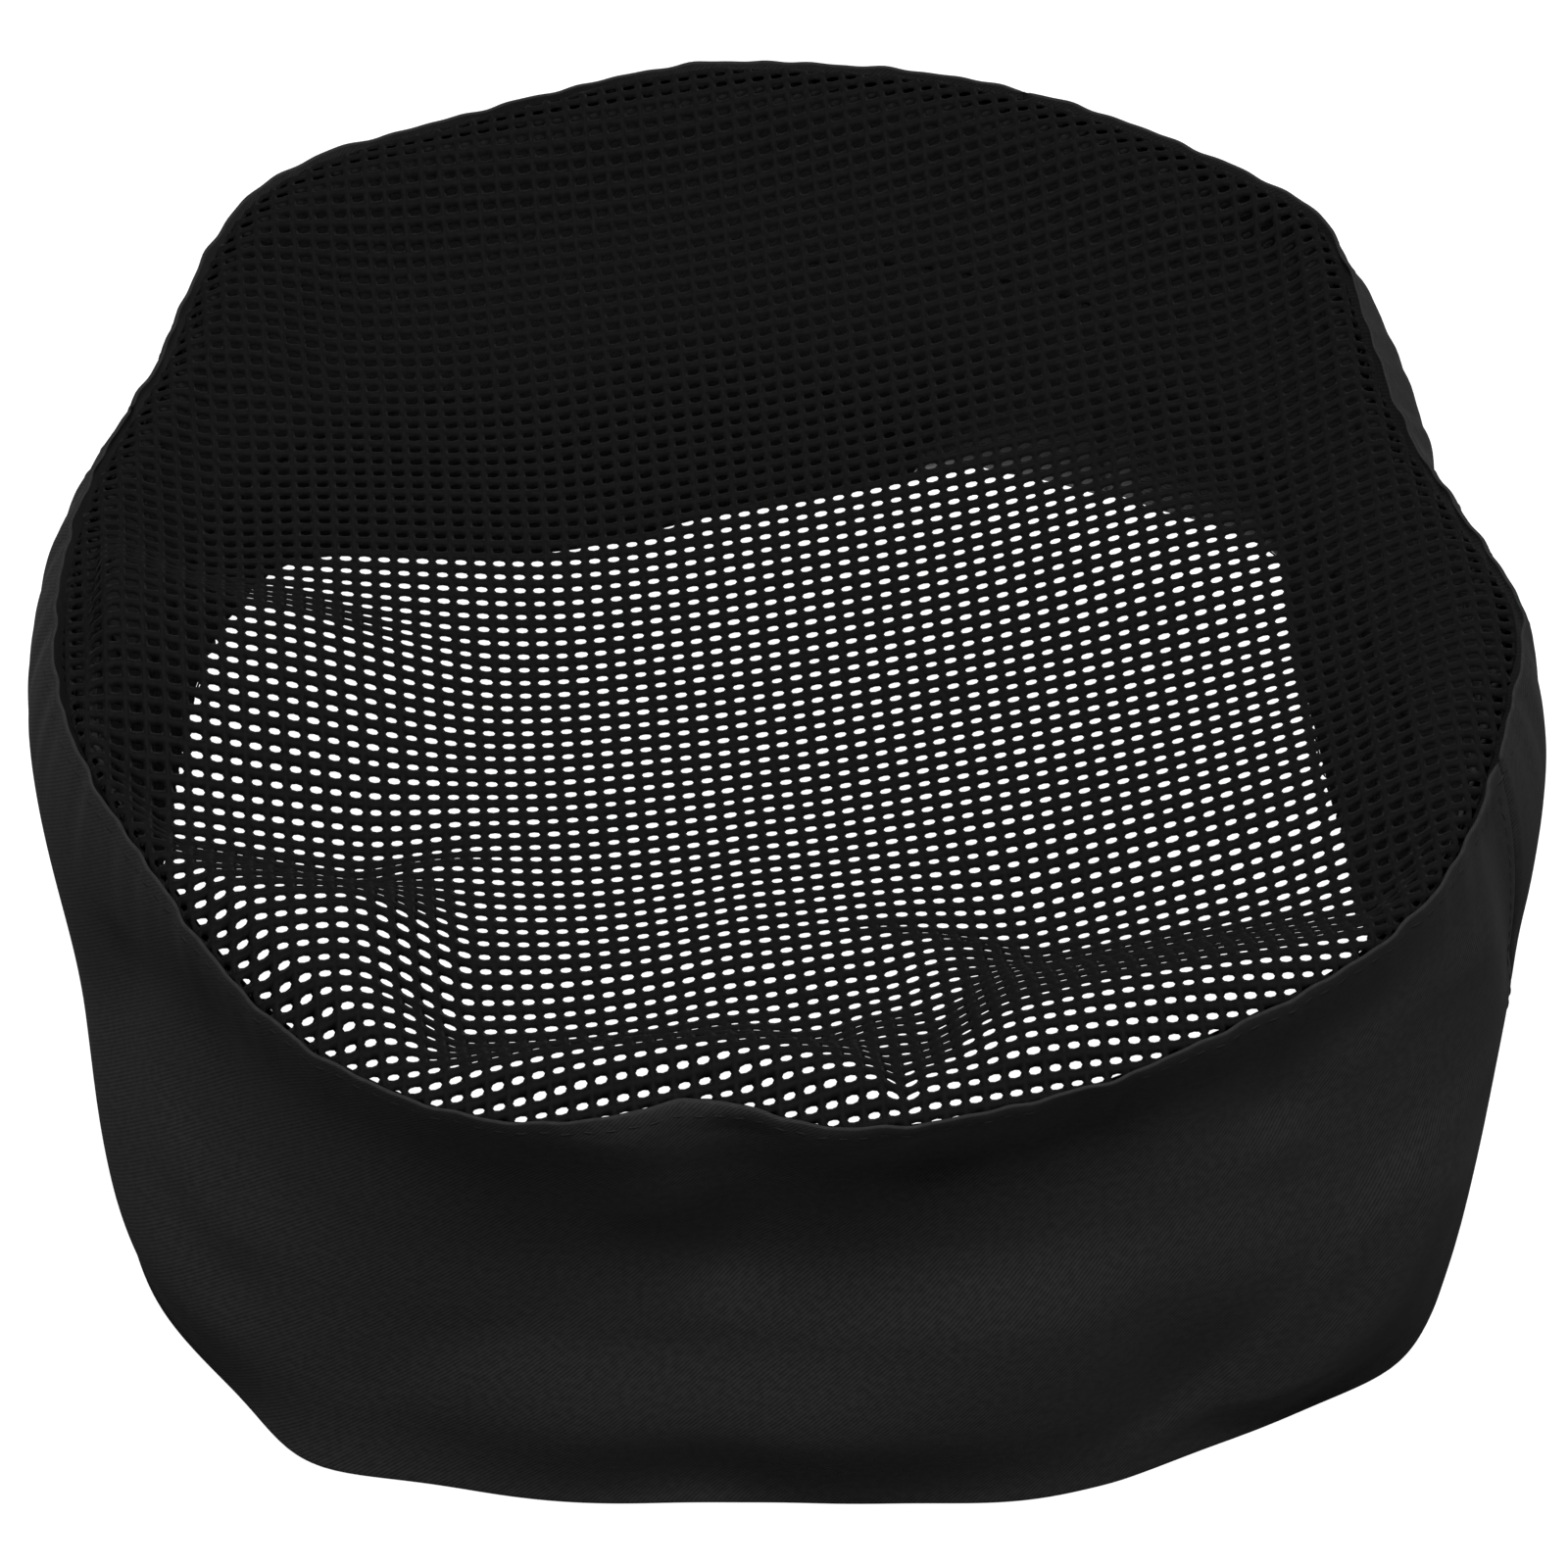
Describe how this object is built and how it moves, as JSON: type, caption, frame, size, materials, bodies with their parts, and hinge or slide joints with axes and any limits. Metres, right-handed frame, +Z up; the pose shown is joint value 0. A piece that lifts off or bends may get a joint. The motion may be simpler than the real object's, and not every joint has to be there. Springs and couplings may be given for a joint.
{
  "type": "chef cap",
  "caption": "Low round chef's skull cap: a twill side band, a see-through mesh crown, a sweatband, and a hook-and-loop tab across a slit at the centre back.",
  "frame": {"origin": "centre of the head opening, in the plane that the hem rests on", "axes": "+Z up through the crown, -Y towards the front of the cap, +Y towards the closure at the centre back, side seams on +X and -X"},
  "size_m": [0.205, 0.2052, 0.088],
  "materials": {
    "twill": "black cotton twill, matt",
    "mesh": "black knitted polyester mesh, matt",
    "binding": "black bias tape, matt",
    "sweatband": "black towelling, matt",
    "loop": "black loop pile, matt",
    "hook": "black moulded hooks, slight sheen",
    "label": "black satin, blank",
    "thread": "black spun polyester thread"
  },
  "bodies": {
    "cap": {"front_band": "twill", "back_band_left": "twill", "back_band_right": "twill", "closure_tab_root": "twill", "fly_flap": "twill", "crown_mesh": "mesh", "seam_binding": "binding", "sweatband": "sweatband", "loop_tape": "loop", "care_label": "label", "edge_stitch_thread": "thread", "binding_thread": "thread", "side_seam_thread_right": "thread", "side_seam_thread_left": "thread", "centre_back_thread": "thread", "sweatband_thread": "thread", "label_thread": "thread", "tab_root_thread": "thread", "slit_bartack": "thread"},
    "closure_tab": {"closure_tab": "twill", "hook_tape": "hook", "hook_tape_thread": "thread"}
  },
  "joints": [
    {"name": "tab_peel", "type": "hinge", "parent": "cap", "child": "closure_tab", "pos_m": [-0.01282, 0.10136, 0.021], "axis": [-0.0043, 0.0338, 0.9994], "range_deg": [0, 120]}
  ]
}
